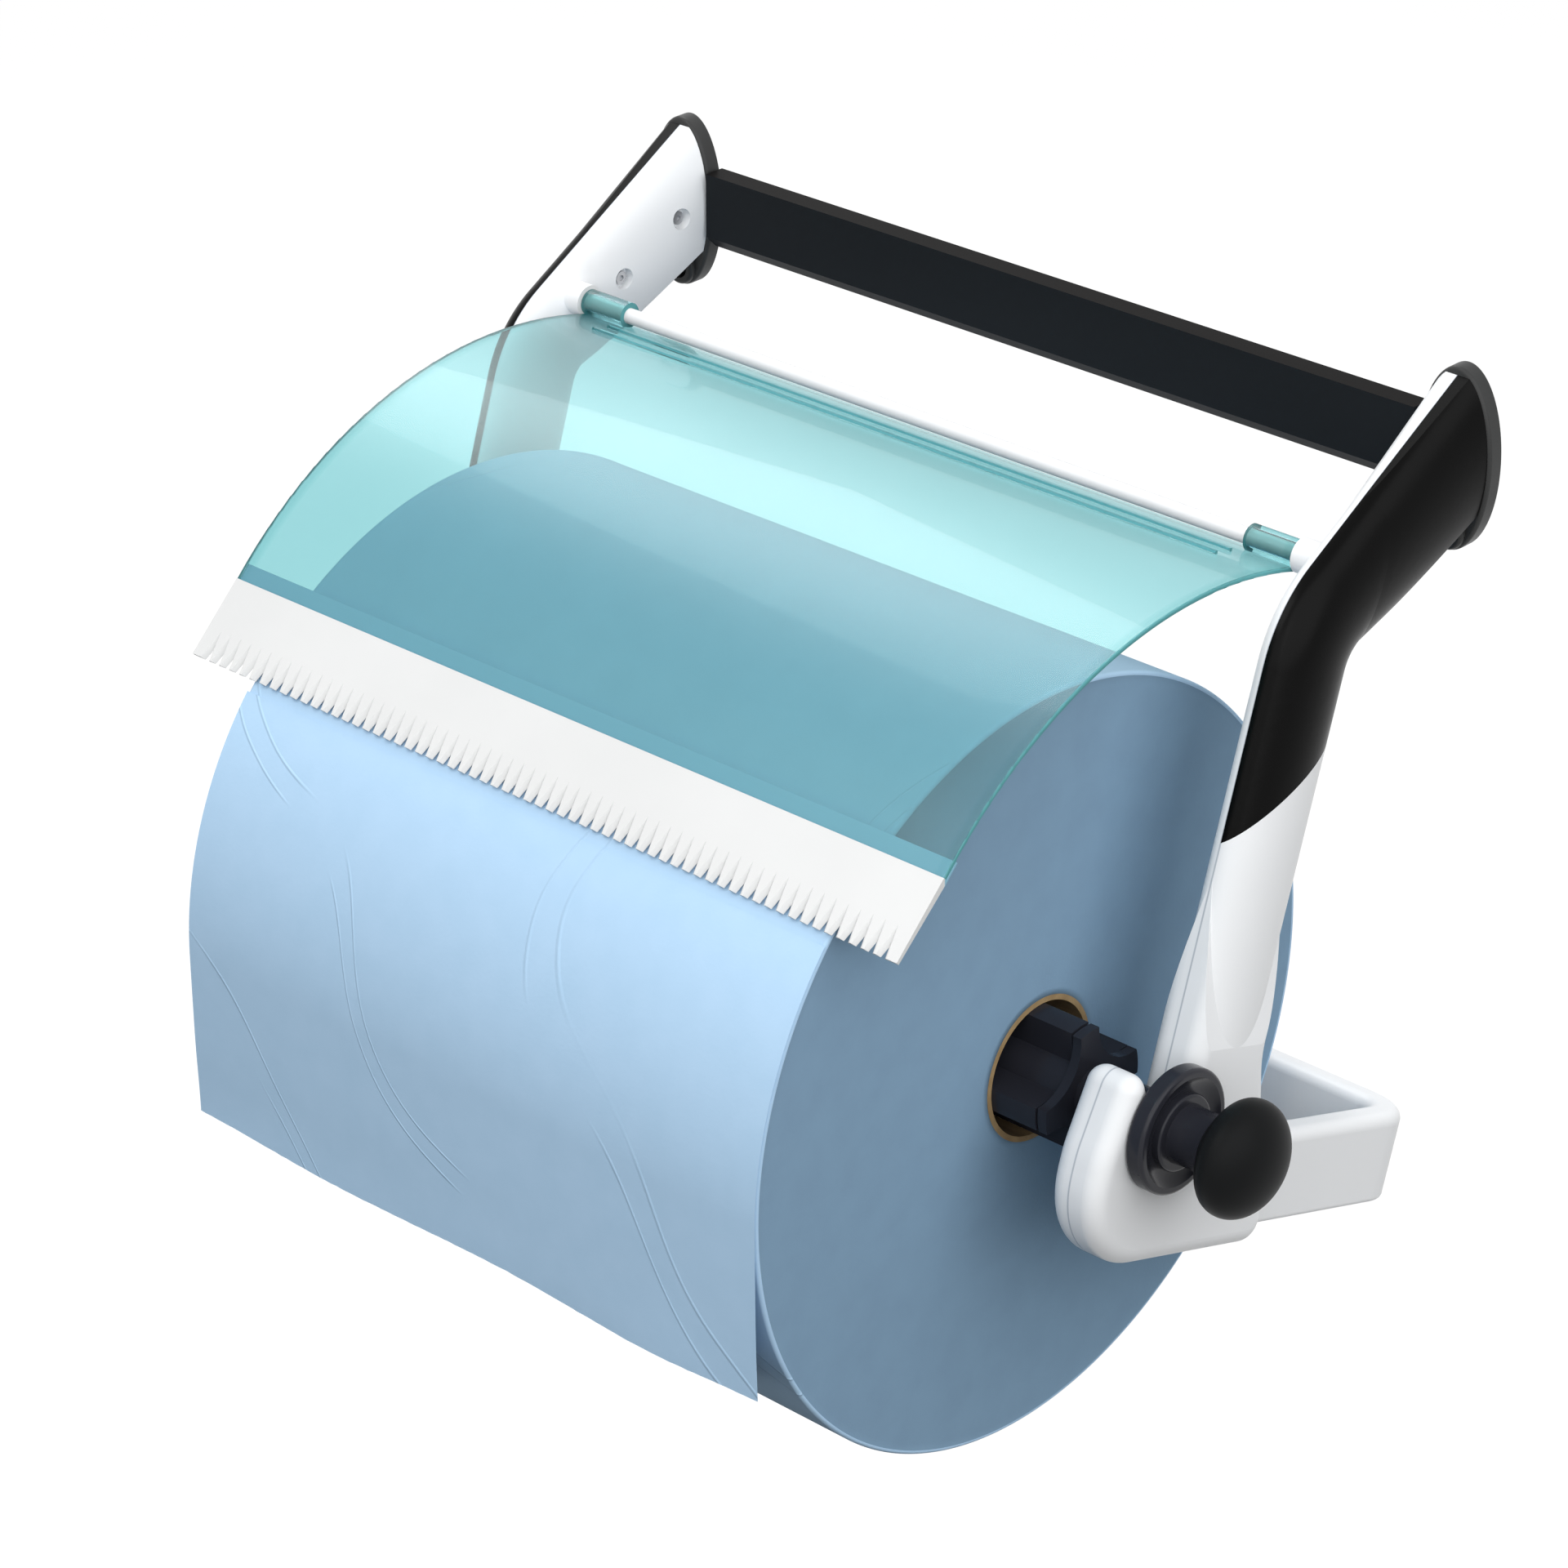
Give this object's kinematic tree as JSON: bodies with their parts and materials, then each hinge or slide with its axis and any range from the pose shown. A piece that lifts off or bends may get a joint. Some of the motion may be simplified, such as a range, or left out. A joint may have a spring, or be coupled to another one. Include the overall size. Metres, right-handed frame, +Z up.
{
  "type": "wall-mounted paper roll dispenser",
  "caption": "Wall-mounted paper roll dispenser: hooked arms on a wall rail carry a knobbed axle with a blue paper roll, under a hinged see-through cover with a toothed cutter.",
  "frame": {"origin": "on the wall face, at the middle of the wall rail", "axes": "+Z up, +Y into the wall, +X to the right as seen from the front"},
  "size_m": [0.646, 0.4177, 0.4939],
  "materials": {
    "white_plastic": "white moulded plastic, satin",
    "black_plastic": "gloss black moulded plastic",
    "dark_plastic": "dark grey moulded plastic",
    "rail_paint": "black painted bent steel",
    "rod_paint": "white coated steel rod",
    "cover_plastic": "turquoise see-through plastic",
    "axle_plastic": "blue-black moulded plastic",
    "knob_plastic": "satin black moulded plastic",
    "tube_steel": "drawn steel tube",
    "screw_steel": "zinc plated steel",
    "paper": "blue wiping paper",
    "cardboard": "brown cardboard"
  },
  "bodies": {
    "frame": {"wall_rail": "rail_paint", "left_wall_plate": "dark_plastic", "right_wall_plate": "dark_plastic", "rail_screws": "screw_steel", "left_arm_inner_shell": "white_plastic", "right_arm_inner_shell": "white_plastic", "left_arm_outer_shell": "white_plastic", "right_arm_outer_shell": "white_plastic", "left_arm_cover": "black_plastic", "right_arm_cover": "black_plastic", "arm_screws": "screw_steel", "lower_brace": "white_plastic", "brace_screws": "screw_steel", "hinge_rod": "rod_paint"},
    "cover": {"cover_shell": "cover_plastic", "cutter_bar": "white_plastic"},
    "roll": {"axle_tube": "tube_steel", "left_core_chuck": "axle_plastic", "right_core_chuck": "axle_plastic", "chuck_pins": "screw_steel", "left_axle_collar": "axle_plastic", "right_axle_collar": "axle_plastic", "left_knob": "knob_plastic", "right_knob": "knob_plastic", "knob_studs": "screw_steel", "cardboard_core": "cardboard", "paper_roll": "paper"},
    "paper_tail": {"paper_tail": "paper"}
  },
  "joints": [
    {"name": "cover_hinge", "type": "hinge", "parent": "frame", "child": "cover", "pos_m": [0, -0.09602, -0.02482], "axis": [-1, 0, 0], "range_deg": [0, 125]},
    {"name": "roll_spin", "type": "hinge", "parent": "frame", "child": "roll", "pos_m": [0, -0.224, -0.2555], "axis": [1, 0, 0], "range_deg": [0, 101]},
    {"name": "paper_pull", "type": "slide", "parent": "frame", "child": "paper_tail", "axis": [0, 0, -1], "range_m": [0, 0.34], "deforming": ["paper_tail"]}
  ],
  "couplings": [
    {"joint": "paper_pull", "follows": "roll_spin", "m_per_rad": 0.1925}
  ]
}
